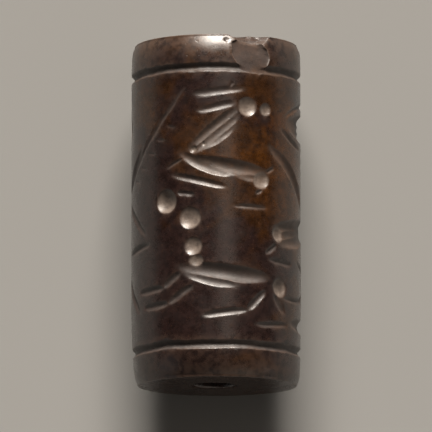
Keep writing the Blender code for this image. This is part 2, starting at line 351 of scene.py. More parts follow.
# %% Cut both beasts with one function
HORN_WIDTH = 0.66
HORN_SINK = 0.2
LEG_WIDTH = 0.66
NECK_SINK = 0.26
BODY_SINK = 0.25


def cut_beast(marks):
    """Drill the head, shoulder, chest and joints, then cut neck, body, horns and legs."""
    for spot in marks["drilled"].values():
        drill(*spot)
    passes(marks["neck"], NECK_SINK)
    passes(marks["upper_body"], BODY_SINK)
    passes(marks["lower_body"], BODY_SINK)
    for places in marks["horns"]:
        line(list(places), HORN_WIDTH, HORN_SINK)
    for width, *places in marks["bars"]:
        line(places, width)
    for corners in marks["bent_legs"]:
        bent_line(corners, LEG_WIDTH)


cut_beast(LEFT_BEAST)
cut_beast(RIGHT_BEAST)
print(f"{len(cuts)} cuts in the two beasts")

# %% [markdown]
# ## The lens, the figure under it, and the star
#
# Between the beasts' heads is an eye-shaped lens under a brow. Below it a figure raises two
# arms, with curved cuts, and a leaf on the ground line. Behind the beasts' backs
# is a star of four limbs that spread from one drilled centre, with a ball above and below it,
# and with rows of short barbs scratched along its arms.

# %% Cut the lens and the figure under it
passes([(1.35, (7.1, 22.9), (11.4, 23.4), (16.0, 23.5)),
        (1.35, (7.2, 22.8), (11.5, 22.8), (15.9, 23.3)),
        (1.35, (7.4, 22.6), (11.4, 22.2), (15.6, 23.0))])
line([(6.9, 23.3), (11.4, 24.9), (16.2, 24.2)], 0.5)
line([(6.4, 22.3), (8.2, 21.3), (10.0, 20.9)], 0.5)
line([(15.0, 22.2), (16.6, 22.8)], 0.35, 0.3)

for pit in [(14.6, 20.0, 1.6), (16.2, 20.2, 1.0), (12.8, 15.3, 1.0), (6.2, 13.0, 1.6)]:
    drill(*pit)
boat([(4.9, 20.6), (8.5, 18.2), (11.3, 15.5)], 0.95)
boat([(5.4, 20.0), (8.7, 17.6), (11.0, 15.4)], 0.5)
line([(14.4, 18.2), (11.8, 15.8)], 0.75)
line([(11.0, 19.5), (13.0, 19.7)], 0.4, 0.2)
passes([(1.3, (13.9, 14.4), (9.8, 14.0), (5.4, 13.4)),
        (1.3, (13.8, 14.2), (9.8, 13.4), (5.6, 12.8)),
        (1.3, (13.7, 14.0), (9.9, 12.9), (6.2, 12.2))])
line([(13.1, 13.6), (14.6, 13.2)], 0.45)
line([(12.0, 12.7), (13.8, 12.5)], 0.45, 0.35)
line([(4.6, 11.1), (5.9, 12.0)], 0.5)
line([(5.0, 10.6), (8.0, 10.45)], 0.55)
line([(9.2, 10.8), (11.4, 10.0), (11.2, 8.5)], 0.5)
line([(11.3, 8.7), (10.2, 7.6), (6.7, 7.4)], 0.5)
line([(15.1, 11.3), (13.3, 9.6), (15.3, 8.1)], 0.55)
boat([(7.8, 5.3), (11.3, 5.4), (14.9, 5.7)], 1.25)
line([(13.0, 4.2), (15.4, 4.1)], 0.3, 0.25)
print(f"{len(cuts)} cuts with the lens and the figure")

# %% Cut the star, one limb on each side at a time
STAR = (-12.4, 17.3)
STAR_ARMS = {
    1: ((0.6, 16.8), (5.0, 20.5), (9.6, 25.5)),
    -1: ((-0.7, 16.9), (-4.2, 20.6), (-7.1, 25.4)),
}
STAR_FEET = {1: ((1.5, 11.7), (5.8, 12.1)), -1: ((-1.1, 11.8), (-5.8, 12.4))}
BARBS = 5
FIRST_BARB = 0.2
BARB_SPREAD = 0.5
BARB_AWAY = 0.9
BARB_BELOW = 0.6
BARB_LONG = 0.9
BARB_FALL = 0.2
SCRATCHES = [(-18.7, 25.6, 2.3), (-19.3, 24.5, 1.6), (-18.9, 23.4, 1.4)]


def from_star(place):
    """Place on the wall of a point given from the star's middle line."""
    girth, height = place
    return STAR[0] + girth, height


drill(*STAR, 1.35)
drill(STAR[0] + 1.1, 22.8, 2.0)
drill(STAR[0] - 0.1, 10.3, 1.65)
line([(STAR[0] + 0.1, 17.7), (STAR[0] + 0.2, 19.2)], 0.35, 0.4)
line([(STAR[0] + 0.9, 9.6), (STAR[0] + 4.3, 6.2)], 0.7)
for side in (1, -1):
    root, bend, end = [from_star(place) for place in STAR_ARMS[side]]
    boat([root, bend], 1.0, 0.2, lean=0.9)
    boat([root, (bend[0] - side * 0.2, bend[1] + 0.3)], 0.5, 0.3)
    line([root, bend, end], 0.42, 0.26)
    line([from_star((side, 16.4)), from_star((side * 5.3, 12.9))], 0.65)
    line([from_star(place) for place in STAR_FEET[side]], 0.65)
    for barb in range(BARBS):
        share = FIRST_BARB + BARB_SPREAD * barb / (BARBS - 1)
        girth = root[0] + (end[0] - root[0]) * share + side * BARB_AWAY
        height = root[1] + (end[1] - root[1]) * share - BARB_BELOW
        tip = (girth + side * BARB_LONG, height - BARB_FALL)
        line([(girth, height), tip], 0.26, 0.2)
for girth, height, reach in SCRATCHES:
    line([(girth, height), (girth - reach, height)], 0.35, 0.35)
print(f"{len(cuts)} cuts in the whole picture")

# %% [markdown]
# ## The long flake below the upper rim
#
# A blow on the upper rim once drove a flat flake off the front of the wall. Its scar has a
# nearly even bed, a rounded outline that is a little ragged, and a small step all round. It
# could be sculpted by hand, but as a formula it can join the depths of the picture: a field
# that is above zero inside a rounded square, roughened by noise, and turned into a bed with
# steep sides and faint rings round the blow.

# %% Depth of the flake
FLAKE = (3.25, 28.1)
FLAKE_HALF = (1.85, 1.5)
FLAKE_TILT = 0.22
FLAKE_SQUARE = 2.4
FLAKE_DEPTH = 0.36
FLAKE_SLOPE = 0.05
FLAKE_STEEP = 0.45
BED_RING = 0.012
BED_RINGS = 5.0
BED_ROUGH = 0.03
WELL_OUTSIDE = -1.0


def flake_depth(girth, height):
    """Depth of the flake's bed at each place, below zero outside it."""
    across = (girth - FLAKE[0]) / FLAKE_HALF[0]
    above = (height - FLAKE[1]) / FLAKE_HALF[1] + FLAKE_TILT * across
    inside = 1 - np.abs(across) ** FLAKE_SQUARE - np.abs(above) ** FLAKE_SQUARE
    for ragged, wave, seed in ((0.3, 1.1, 71.0), (0.12, 0.35, 83.0)):
        inside = inside + ragged * ripple(girth, height, wave, seed)
    from_blow = np.hypot(girth - FLAKE[0], height - LENGTH)
    bed = FLAKE_DEPTH + FLAKE_SLOPE * above + BED_RING * np.sin(from_blow * BED_RINGS)
    bed = bed + BED_ROUGH * ripple(girth, height, 0.8, seed=67.0)
    scar_bed = bed * np.maximum(inside, 0) ** FLAKE_STEEP
    return np.where(inside > 0, scar_bed, np.maximum(inside, WELL_OUTSIDE))


sample = flake_depth(np.array([FLAKE[0], 0.0]), np.array([FLAKE[1], FLAKE[1]]))
print("depth in the flake and left of it, mm:", sample.round(3))

# %% [markdown]
# ## How deep is the cut here?
#
# The picture's depth at a place is the deepest of all the cuts there. A plain maximum would
# leave razor edges, so the cuts are summed as soft exponentials instead, which rounds every
# lip and ridge by a few hundredths of a millimetre, as centuries of handling do. The hand
# isn't a machine: the places are first shifted by a slow swell, and the two border grooves
# wander up and down by a tenth of a millimetre or so. The whole picture also sits a little
# nearer the lower end than its marks say, so the upper border is the wider one.

# %% Depth of one cut
BEND_POINTS = 14


def route_of(places):
    """Points along a cut: one, two, or a smooth bend through three."""
    spots = np.array(places, dtype=float)
    if len(spots) < 3:
        return spots
    along = np.linspace(0.0, 1.0, BEND_POINTS)[:, None]
    first = (1 - along) * (1 - 2 * along)
    second = 4 * along * (1 - along)
    third = along * (2 * along - 1)
    return spots[0] * first + spots[1] * second + spots[2] * third


def cut_depth(cut, girth, height):
    """Depth of one cut at each place, below zero outside it."""
    route = route_of(cut["places"])
    half_width = cut["width"] / 2
    if len(route) == 1:
        away = np.hypot(girth - route[0, 0], height - route[0, 1])
        return cut["depth"] * (1 - (away / half_width) ** cut["bowl"])
    starts, steps = route[:-1], np.diff(route, axis=0)
    lengths = np.hypot(steps[:, 0], steps[:, 1])
    before = np.concatenate([[0.0], np.cumsum(lengths)[:-1]])
    away = np.full(girth.shape, np.inf)
    along = np.zeros(girth.shape)
    for start, step, length, passed in zip(starts, steps, lengths, before):
        reach = ((girth - start[0]) * step[0] + (height - start[1]) * step[1]) / length ** 2
        reach = np.clip(reach, 0.0, 1.0)
        gap = np.hypot(girth - start[0] - reach * step[0], height - start[1] - reach * step[1])
        nearer = gap < away
        away = np.where(nearer, gap, away)
        along = np.where(nearer, passed + reach * length, along)
    centred = 2 * (along / lengths.sum()) ** cut["lean"] - 1
    fade = 1 - np.abs(centred) ** cut["lift"]
    return cut["depth"] * (fade - (away / half_width) ** cut["bowl"])


first_pit = cuts[0]
pit_middle = [np.array([value]) for value in first_pit["places"][0]]
print(f"the first pit is {cut_depth(first_pit, *pit_middle)[0]:.3f} mm deep")

# %% Depth of the whole picture, with its borders and the flake
LIP_WEAR = 0.022
HAND_DRIFT = 0.07
DRIFT_WAVE = 1.7
HAND_SHAKE = 0.025
SHAKE_WAVE = 0.5
PICTURE_DROP = 0.3
GROOVES = (3.1, 27.3)
GROOVE_WIDTH = 0.76
GROOVE_DEPTH = 0.28
GROOVE_WANDER = 0.12
WANDER_WAVE = 9.0


def soft(depths):
    """Depths as exponentials, whose sum is led by the deepest of them."""
    return np.exp(np.maximum(depths, WELL_OUTSIDE) / LIP_WEAR)


def picture_depth(girth, height):
    """Depth of the whole picture at each place, with soft lips, and the wheel's share in it."""
    hand_girth = girth + HAND_DRIFT * ripple(girth, height, DRIFT_WAVE, seed=3.0)
    hand_girth += HAND_SHAKE * ripple(girth, height, SHAKE_WAVE, seed=29.0)
    hand_height = height + PICTURE_DROP
    hand_height += HAND_DRIFT * ripple(girth, height, DRIFT_WAVE, seed=57.0)
    hand_height += HAND_SHAKE * ripple(girth, height, SHAKE_WAVE, seed=43.0)
    total = np.ones(girth.shape)
    wheeled = np.zeros(girth.shape)
    for cut in cuts:
        route = route_of(cut["places"])
        middle = route.mean(axis=0)
        margin = np.abs(route - middle).max(axis=0) + cut["width"]
        from_middle = (hand_girth - middle[0] + GIRTH / 2) % GIRTH - GIRTH / 2
        near = (np.abs(from_middle) < margin[0]) & (np.abs(hand_height - middle[1]) < margin[1])
        if near.any():
            part = soft(cut_depth(cut, middle[0] + from_middle[near], hand_height[near]))
            total[near] += part
            wheeled[near] += part * cut["wheel"]
    wander = GROOVE_WANDER * ripple(girth, height * 0, WANDER_WAVE, seed=91.0)
    for place in GROOVES:
        away = np.abs(hand_height - place - wander) / (GROOVE_WIDTH / 2)
        part = soft(GROOVE_DEPTH * (1 - away ** 2))
        total += part
        wheeled += part
    total += soft(flake_depth(hand_girth, height))
    return LIP_WEAR * np.log(total), wheeled / total


hip, head = LEFT_BEAST["drilled"]["hip"], LEFT_BEAST["drilled"]["head"]
sample_girth = np.array([hip[0], head[0], 0.0])
sample_height = np.array([hip[1], head[1], 13.0]) - PICTURE_DROP
sample, _ = picture_depth(sample_girth, sample_height)
print("depth in the hip, in the head and on the bare wall, mm:", sample.round(3))

# %% [markdown]
# ## The chips along the rims
#
# Small chips have broken off both rims, most of them round the flake. Fine-grained stone
# breaks in shell-shaped hollows, so each chip is a ball that bites into the stone. A ball's
# first three numbers are its centre, as girth, height and radius on the stone, and the last is
# its own radius. Its surface carries faint ripples in rings round the place that was struck,
# and noise breaks its outline.

# %% The chips, and how far each bites
SCAR_LIP = 0.022
CHIP_RING = 0.006
CHIP_RINGS = 9.0
RING_SPREAD = 2.0
CHIP_ROUGH = ((0.09, 1.1), (0.03, 3.7))
BITE_MARGIN = 0.6
chips = [
    (3.3, LENGTH + 2.1, RADIUS + 1.6, 3.7),
    (2.2, LENGTH + 1.25, RADIUS - 0.95, 1.7),
    (1.55, LENGTH - 0.2, RADIUS + 0.62, 0.95),
    (1.0, LENGTH - 0.45, RADIUS - 0.15, 0.38),
    (2.5, LENGTH - 0.42, RADIUS - 0.3, 0.5),
    (3.15, LENGTH - 0.25, RADIUS - 0.55, 0.42),
    (3.9, LENGTH - 0.5, RADIUS - 0.3, 0.46),
    (4.85, LENGTH - 0.35, RADIUS + 0.1, 0.5),
    (4.75, LENGTH + 0.25, RADIUS - 0.1, 0.6),
    (-6.9, LENGTH + 0.2, RADIUS + 0.1, 0.6),
    (11.2, LENGTH + 0.1, RADIUS + 0.15, 0.7),
    (-15.5, -0.25, RADIUS + 0.05, 0.75),
    (6.4, -0.15, RADIUS + 0.2, 0.65),
]
STRUCK = (2.6, LENGTH - 0.3, RADIUS - 0.9)


def centre_of(girth, height, radius):
    """One place as a point in metres."""
    return to_stone(np.array([girth]), np.array([height]), np.array([radius]))[0]


def bite(points, chip):
    """How far in millimetres each point goes out to the surface of one chip's ball."""
    *place, size = chip
    away = np.linalg.norm(points - centre_of(*place), axis=1) / MM
    near = away < size + BITE_MARGIN
    spots = points[near]
    from_blow = np.linalg.norm(spots - centre_of(*STRUCK), axis=1) / MM
    rough = np.zeros(len(points))
    rough[near] = CHIP_RING * np.sin(from_blow * CHIP_RINGS + RING_SPREAD * from_blow ** 0.5)
    for strength, close in CHIP_ROUGH:
        swell = [noise.noise(Vector(spot / MM * close)) for spot in spots]
        rough[near] += strength * np.array(swell)
    return SCAR_LIP * np.logaddexp(0.0, (size + rough - away) / SCAR_LIP)


print(f"{len(chips)} chips, the largest a ball of {max(chip[3] for chip in chips)} mm")

# %% [markdown]
# ## Split the mesh where a cut needs it
#
# The blank's faces are a quarter of a millimetre wide: fine for the bare wall, coarse for
# a lip. Splitting everything would cost millions of faces, so only the faces where the depth
# bends are split, three times over. A face needs it when the depth at the middle of an edge
# differs from the mean of its two ends, and each round asks for a little less difference.

# %% Split three times, only where the surface bends
END_CLEAR = (1.0, 0.3)
ENOUGH_BEND = (0.0115, 0.0095, 0.008)


def points_of(verts):
    """Array of the places of some vertices."""
    return np.array([vert.co for vert in verts])


def surface_depth(points):
    """Depth to push each point in, with chips counted, for judging where to split."""
    girth, height, radius = to_picture(points)
    depth = np.zeros(len(points))
    carved_part = (height > END_CLEAR[0]) & (height < LENGTH - END_CLEAR[1])
    wall = (radius > RADIUS - RIM_DEEP) & carved_part
    depth[wall], _ = picture_depth(girth[wall], height[wall])
    return depth + np.max([bite(points, chip) for chip in chips], axis=0)


for enough in ENOUGH_BEND:
    edges = list(stone.edges)
    ends = np.array([[end.index for end in edge.verts] for edge in edges])
    places = points_of(stone.verts)
    depth = surface_depth(places)
    middle_depth = surface_depth((places[ends[:, 0]] + places[ends[:, 1]]) / 2)
    bent = np.abs(middle_depth - depth[ends].mean(axis=1)) > enough
    faces = {face for edge, flag in zip(edges, bent) if flag for face in edge.link_faces}
    chosen = list({edge for face in faces for edge in face.edges})
    bmesh.ops.subdivide_edges(stone, edges=chosen, cuts=1, use_grid_fill=True,
                              use_single_edge=True)
    stone.verts.index_update()
    print(f"split {len(chosen)} edges: {len(stone.faces)} faces")

# %% [markdown]
# ## Carve
#
# Now each point of the wall is set to its true radius: the turned wall, thinned a little
# towards the lower end, less the slow unevenness of a stone ground by hand, less the depth of
# the picture. The rims are rubbed most in front and least behind, where they are filled out
# again. The bore is moved a little off centre, since it was drilled from both ends by hand.
# Chips then push their points out to the surface of a ball, and the small worn flat under the
# stone is pressed level, so that it lies still. Last, the few faces that two overlapping bites
# have folded over are smoothed until they lie open again.

# %% Push every point of the wall in by its depth
TAPER_HEIGHT = 8.0
TAPER_DEPTH = 0.2
TAPER_LEAN = 0.1
UNEVEN = 0.02
UNEVEN_WAVE = 6.0
MOST_RUBBED = -1.5
RUBBED_POWER = 2.5
RUBBED_PATCHY = 0.15
PATCH_WAVE = 4.0
HAIR = 0.001
FACE_SLACK = 0.01
MOUTH_LIP = 0.1

points = points_of(stone.verts)
girth, height, radius = to_picture(points)
on_rim = radius > RADIUS - RIM_DEEP - HAIR
from_end = np.minimum(height, LENGTH - height)
sawn = (from_end < FACE_SLACK) & (radius > MOUTH_RADIUS - MOUTH_LIP)
past_wall = np.clip(1 - from_end / RIM_LONG, 0, 1)
rubbed = (0.5 + 0.5 * np.cos((girth - MOST_RUBBED) / RADIUS)) ** RUBBED_POWER
rubbed = rubbed + RUBBED_PATCHY * ripple(girth, height * 0, PATCH_WAVE, seed=33.0)
rubbed = np.clip(rubbed, 0, 1)
depth, wheeled = np.zeros(len(points)), np.zeros(len(points))
depth[on_rim], wheeled[on_rim] = picture_depth(girth[on_rim], height[on_rim])
skin = RADIUS - rim_drop_at(from_end, rubbed) - depth
skin -= UNEVEN * (1 + ripple(girth, height, UNEVEN_WAVE, seed=11.0))
face_edge = RADIUS - RIM_DEEP - CORNER
fill_out = (1 - rubbed) * (RIM_DEEP - EDGE_DEEP) * (radius - MOUTH_RADIUS)
fill_out /= face_edge - MOUTH_RADIUS
radius = np.where(on_rim, skin, radius + np.maximum(fill_out, 0))
thinning = np.clip(1 - height / TAPER_HEIGHT, 0, 1) ** 2
outer = np.clip((radius - BORE_RADIUS) / (RADIUS - BORE_RADIUS), 0, 1)
radius = radius - TAPER_DEPTH * thinning * outer
carved = to_stone(girth, height, radius)
carved[:, 0] += TAPER_LEAN * MM * thinning * outer
print(f"deepest cut {depth.max():.2f} mm, {int((depth > 0.05).sum())} points in cuts")

# %% Move the bore off centre, let the chips bite, and press the flat
BORE_OFFSET = np.array([-0.15, 0.0, 0.2])
FULL_FLAKE = 0.1
FULL_BITE = 0.08
BITE_START = 0.4
FLAT_SOFT = 0.01 * MM

carved += BORE_OFFSET * MM * (1 - outer)[:, None]
scar = np.clip(flake_depth(girth, height) / FULL_FLAKE, 0, 1) * on_rim
for chip in chips:
    ray = carved - centre_of(*chip[:3])
    length = np.linalg.norm(ray, axis=1)
    push = bite(carved, chip)
    carved += ray / length[:, None] * push[:, None] * MM
    scar = np.maximum(scar, np.clip(push / FULL_BITE - BITE_START, 0, 1))
carved[:, 2] = FLAT_SOFT * np.logaddexp(0.0, carved[:, 2] / FLAT_SOFT)
for vert, place in zip(stone.verts, carved):
    vert.co = place
lowest = carved[:, 2].min() / MM
print(f"{int((scar > 0).sum())} points in the scars, lowest point {lowest:.3f} mm")

# %% Unfold the few places where two bites overlap
FOLD_ANGLE = math.radians(100.0)
UNFOLD_ROUNDS = 30
SMOOTHING = 0.5

for _ in range(UNFOLD_ROUNDS):
    stone.normal_update()
    folded = [edge for edge in stone.edges if edge.calc_face_angle() > FOLD_ANGLE]
    if not folded:
        break
    crossed = {vert for edge in folded for vert in edge.verts}
    around = {face for vert in crossed for face in vert.link_faces}
    loose = list({vert for face in around for vert in face.verts})
    bmesh.ops.smooth_vert(stone, verts=loose, factor=SMOOTHING, use_axis_x=True,
                          use_axis_y=True, use_axis_z=True)
print(f"{len(folded)} edges still folded over")

# %% [markdown]
# ## What the finish needs to know
#
# A finish that follows the shape needs to know where the cuts, scars, worn edges and hollows
# are; the hollows are where the colour is made darker. It could be painted on by hand, but the
# depths above already say it, so they are kept on the mesh as one value for each point. Only
# the sharpness of edges is missing. It is measured from the way the normals of neighbouring
# points spread or close.

# %% Make the seal's mesh and measure how sharply its surface turns
SMOOTH_ROUNDS = 3


def turn_of_surface(mesh, rounds):
    """Mean bend at each point, in 1/mm: above zero on edges, below zero in hollows."""
    ends = np.array([edge.vertices[:] for edge in mesh.edges])
    places = np.array([vert.co[:] for vert in mesh.vertices]) / MM
    normals = np.array([vert.normal[:] for vert in mesh.vertices])
    ahead = places[ends[:, 1]] - places[ends[:, 0]]
    span = np.maximum((ahead ** 2).sum(axis=1), 1e-8)
    total, count = np.zeros(len(places)), np.zeros(len(places))
    for near, way in ((0, -1.0), (1, 1.0)):
        bend = way * 2 * (normals[ends[:, near]] * ahead).sum(axis=1) / span
        np.add.at(total, ends[:, near], bend)
        np.add.at(count, ends[:, near], 1)
    bend = total / count
    for _ in range(rounds):
        shared = np.zeros(len(places))
        np.add.at(shared, ends[:, 0], bend[ends[:, 1]])
        np.add.at(shared, ends[:, 1], bend[ends[:, 0]])
        bend = (bend + shared / count) / 2
    return bend


seal_mesh = bpy.data.meshes.new("seal")
stone.normal_update()
stone.to_mesh(seal_mesh)
stone.free()
seal_mesh.shade_smooth()
bend = turn_of_surface(seal_mesh, SMOOTH_ROUNDS)
print(f"bend from {bend.min():.1f} to {bend.max():.1f} per mm")

# %% Keep what the finish needs, and let the seal stand in for the plain stone
FULL_CUT = 0.15
SHARP_BEND = 5.0
RIM_WEAR = 0.5

layers = {
    "cut": np.clip(depth / FULL_CUT, 0, 1),
    "wheeled": wheeled,
    "scar": scar,
    "edge": np.clip(bend / SHARP_BEND + RIM_WEAR * past_wall * on_rim, 0, 1),
    "hollow": np.clip(-bend / SHARP_BEND, 0, 1),
    "sawn": sawn * 1.0,
}
for name, values in layers.items():
    layer = seal_mesh.attributes.new(name, "FLOAT", "POINT")
    layer.data.foreach_set("value", values.astype(np.float32))
seal = bpy.data.objects.new("seal", seal_mesh)
bpy.context.scene.collection.objects.link(seal)
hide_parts("seal_stone")
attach(seal, "root")
triangles = sum(len(face.vertices) - 2 for face in seal_mesh.polygons)
print(f"seal: {triangles} triangles, {len(layers)} values kept for each point")

# %% [markdown]
# ## The stone
#
# The stone is fine-grained and dark red-brown. Close up its colour is a mottling of purplish
# brown and warm rust, flecked with darker and paler grains, and it took a soft polish that
# has worn unevenly. All of that comes from noise in the stone's own solid coordinates, so the
# pattern runs through cuts and round edges as it does in real stone, where a pattern wrapped
# round the outside would stretch into them. Helpers first: short functions that add one kind
# of node each keep the finish readable as a list of layers.

# %% Helpers for sockets, coordinates and grain
material = bpy.data.materials.new("polished_brown_stone")
material.use_nodes = True
tree = material.node_tree
shader = tree.nodes["Principled BSDF"]
solid = tree.nodes.new("ShaderNodeTexCoord").outputs["Object"]


def plug(socket, value):
    """Link a node's output to a socket, or set the socket to a plain value."""
    if isinstance(value, bpy.types.NodeSocket):
        tree.links.new(value, socket)
    else:
        socket.default_value = value


def stretched(scale):
    """Object coordinates stretched by a scale for each axis."""
    mapping = tree.nodes.new("ShaderNodeMapping")
    plug(mapping.inputs["Vector"], solid)
    mapping.inputs["Scale"].default_value = scale
    return mapping.outputs["Vector"]


def grain(size, detail=2.0, rough=0.5, where=None, twist=0.0):
    """Noise from 0 to 1 whose blotches are about size millimetres across."""
    noise_node = tree.nodes.new("ShaderNodeTexNoise")
    plug(noise_node.inputs["Vector"], where or solid)
    noise_node.inputs["Scale"].default_value = 1 / (size * MM)
    noise_node.inputs["Detail"].default_value = detail
    noise_node.inputs["Roughness"].default_value = rough
    noise_node.inputs["Distortion"].default_value = twist
    return noise_node.outputs["Fac"]


print("the finish starts from", ", ".join(node.name for node in tree.nodes))

# %% Helpers that bend, add up and mix values
def ramp(value, low_end, high_end, to_low=0.0, to_high=1.0):
    """Smooth step from low_end to high_end."""
    span = tree.nodes.new("ShaderNodeMapRange")
    span.interpolation_type = "SMOOTHSTEP"
    for name, number in (("From Min", low_end), ("From Max", high_end),
                         ("To Min", to_low), ("To Max", to_high)):
        span.inputs[name].default_value = number
    plug(span.inputs["Value"], value)
    return span.outputs["Result"]


def reckon(kind, first, second):
    """One sum of two values."""
    sum_node = tree.nodes.new("ShaderNodeMath")
    sum_node.operation = kind
    plug(sum_node.inputs[0], first)
    plug(sum_node.inputs[1], second)
    return sum_node.outputs["Value"]


def blend(share, first, second, kind="MIX"):
    """Mix two colours by a share."""
    mixer = tree.nodes.new("ShaderNodeMix")
    mixer.data_type = "RGBA"
    mixer.blend_type = kind
    plug(mixer.inputs["Factor"], share)
    plug(mixer.inputs["A"], first)
    plug(mixer.inputs["B"], second)
    return mixer.outputs["Result"]


def kept(name):
    """One of the values kept on the mesh."""
    reader = tree.nodes.new("ShaderNodeAttribute")
    reader.attribute_name = name
    return reader.outputs["Fac"]


print("values kept on the mesh:", ", ".join(layers))

# %% [markdown]
# ## The colours
#
# The colours go on from large to small. The big patches are a few millimetres across, the
# grains a tenth or two. The stone leans to rust on one side and to plum on the other, so the
# patches are pulled a little either way near two places inside it. These pulls are also painted
# light and shade: the right side is made lighter and the lower left darker, as if the light
# fell that way across the stone. Colours are given as linear red, green and blue.

# %% Colour of the stone
def colour(red, green, blue):
    return (red, green, blue, 1.0)


PLUM = colour(0.0135, 0.0066, 0.0058)
BROWN = colour(0.025, 0.0092, 0.0024)
RUST = colour(0.052, 0.0170, 0.0018)
DARK_GRAIN = colour(0.007, 0.003, 0.0025)
PALE_GRAIN = colour(0.080, 0.038, 0.020)
DUST = colour(0.180, 0.142, 0.117)
WORN = colour(0.085, 0.052, 0.036)
BRUISED = colour(0.044, 0.020, 0.010)
HOLLOW_DARK = colour(0.007, 0.004, 0.003)


def zone(place, size):
    """Share from 1 at a place inside the stone to 0 at a distance of size millimetres."""
    gap = tree.nodes.new("ShaderNodeVectorMath")
    gap.operation = "DISTANCE"
    plug(gap.inputs[0], solid)
    gap.inputs[1].default_value = Vector(place) * MM
    return ramp(gap.outputs["Value"], 0.0, size * MM, 1.0, 0.0)


# Real tone mixed with painted light and shade: the pull to rust lightens the right side, and
# the pull to plum darkens the lower left.
RUST_AND_LIGHT_PULL = 0.25
PLUM_AND_SHADE_PULL = 0.38
rust_and_painted_light_side = zone((7.0, 3.0, 11.5), 11.0)
plum_and_painted_shade_side = zone((-6.5, -9.0, 10.0), 17.0)
tone_and_painted_light_lean = reckon("SUBTRACT", reckon("MULTIPLY", rust_and_painted_light_side, RUST_AND_LIGHT_PULL),
                   reckon("MULTIPLY", plum_and_painted_shade_side, PLUM_AND_SHADE_PULL))
patches = reckon("ADD", grain(4.5, detail=3.0, rough=0.55, twist=0.4), tone_and_painted_light_lean)
stone_colour = blend(ramp(patches, 0.42, 0.60), PLUM, BROWN)
veins = reckon("ADD", grain(3.2, detail=4.0, rough=0.6, twist=0.8), tone_and_painted_light_lean)
stone_colour = blend(ramp(veins, 0.56, 0.78, 0.0, 0.65), stone_colour, RUST)
mottle = ramp(grain(0.6, detail=4.0, rough=0.65), 0.30, 0.70, 0.65, 1.45)
stone_colour = blend(1.0, stone_colour, mottle, "MULTIPLY")
fleck_dark = ramp(grain(0.26, detail=4.0, rough=0.6, twist=1.2), 0.58, 0.68, 0.0, 0.7)
fleck_pale = ramp(grain(0.19, detail=3.0, rough=0.6, twist=1.5), 0.63, 0.73, 0.0, 0.55)
stone_colour = blend(fleck_dark, stone_colour, DARK_GRAIN)
stone_colour = blend(fleck_pale, stone_colour, PALE_GRAIN)
print(f"bare stone of {len(tree.nodes)} nodes")

# %% Colour of cuts, worn edges, darker hollows and the sawn ends
cut, wheel_bed, scarred, edge, hollow, end_face = [kept(name) for name in layers]
patchy_dust = ramp(grain(0.5, detail=3.0, rough=0.65), 0.30, 0.65, 0.50, 0.95)
dusty = reckon("MULTIPLY", cut, patchy_dust)
for dustless, share in ((wheel_bed, 0.82), (scarred, 0.95)):
    still_dusty = reckon("SUBTRACT", 1.0, reckon("MULTIPLY", dustless, share))
    dusty = reckon("MULTIPLY", dusty, still_dusty)
surface_colour = blend(dusty, stone_colour, DUST)
worn_pale = reckon("MULTIPLY", edge, ramp(grain(0.6, detail=2.0), 0.35, 0.6, 0.2, 0.9))
surface_colour = blend(worn_pale, surface_colour, WORN)
# The colour is made darker in concave hollows, by how sharply the surface bends inward there.
hollow_darkening = reckon("MULTIPLY", hollow, ramp(grain(0.9, detail=2.0), 0.35, 0.65, 0.2, 0.8))
surface_colour = blend(hollow_darkening, surface_colour, HOLLOW_DARK)
surface_colour = blend(reckon("MULTIPLY", scarred, 0.2), surface_colour, WORN)
crystals = ramp(grain(0.5, detail=4.0, rough=0.7, twist=0.6), 0.38, 0.62, 0.0, 0.65)
surface_colour = blend(reckon("MULTIPLY", end_face, crystals), surface_colour, BRUISED)
plug(shader.inputs["Base Color"], surface_colour)
print(f"stone, dust, wear and darker_hollows of {len(tree.nodes)} nodes")

# %% [markdown]
# ## The polish
#
# The polish is best on the bare wall and poorest where no cloth reached: in the cuts, along
# the worn edges and above all in the flake, while the sawn ends keep a little more of it.
# Bump adds what is too small to model: fine grain, rubbed scratches round the wall, slow
# swell, tiny open pores, and the rough break of the scars.

# %% Polish
dulled = [
    (cut, 0.19),
    (wheel_bed, 0.11),
    (scarred, 0.12),
    (reckon("MULTIPLY", cut, scarred), 0.34),
    (edge, 0.12),
    (end_face, -0.05),
]
polish = ramp(grain(1.8, detail=3.0, rough=0.6), 0.30, 0.70, 0.22, 0.33)
polish = reckon("ADD", polish, ramp(grain(0.12, detail=2.0), 0.3, 0.7, -0.03, 0.04))
for place, rougher in dulled:
    polish = reckon("ADD", polish, reckon("MULTIPLY", place, rougher))
plug(shader.inputs["Roughness"], polish)
shader.inputs["IOR"].default_value = 1.6
print(f"polish dulled in {len(dulled)} ways")

# %% Bump
BUMP_STRENGTH = 0.35
BUMP_HEIGHT = 0.02
texture = [
    (grain(0.10, detail=3.0, rough=0.6), 0.5),
    (grain(0.9, detail=4.0, rough=0.7, where=stretched((0.12, 6.0, 0.12))), 0.35),
    (grain(0.9, detail=4.0, rough=0.55), 2.5),
    (ramp(grain(0.28, detail=1.0), 0.66, 0.74), -0.8),
    (reckon("MULTIPLY", scarred, grain(0.35, detail=5.0, rough=0.7, twist=0.5)), 7.0),
]
relief = 0.0
for pattern, strength in texture:
    relief = reckon("ADD", relief, reckon("MULTIPLY", pattern, strength))
bump = tree.nodes.new("ShaderNodeBump")
bump.inputs["Strength"].default_value = BUMP_STRENGTH
bump.inputs["Distance"].default_value = BUMP_HEIGHT * MM
plug(bump.inputs["Height"], relief)
plug(shader.inputs["Normal"], bump.outputs["Normal"])
seal_mesh.materials.append(material)
print(f"stone finish of {len(tree.nodes)} nodes")

# %% [markdown]
# ## The floor
#
# The seal lies on a sheet of pale matt paper. One large face is enough: it is so much wider
# than the seal that its edge is only seen as a far horizon.

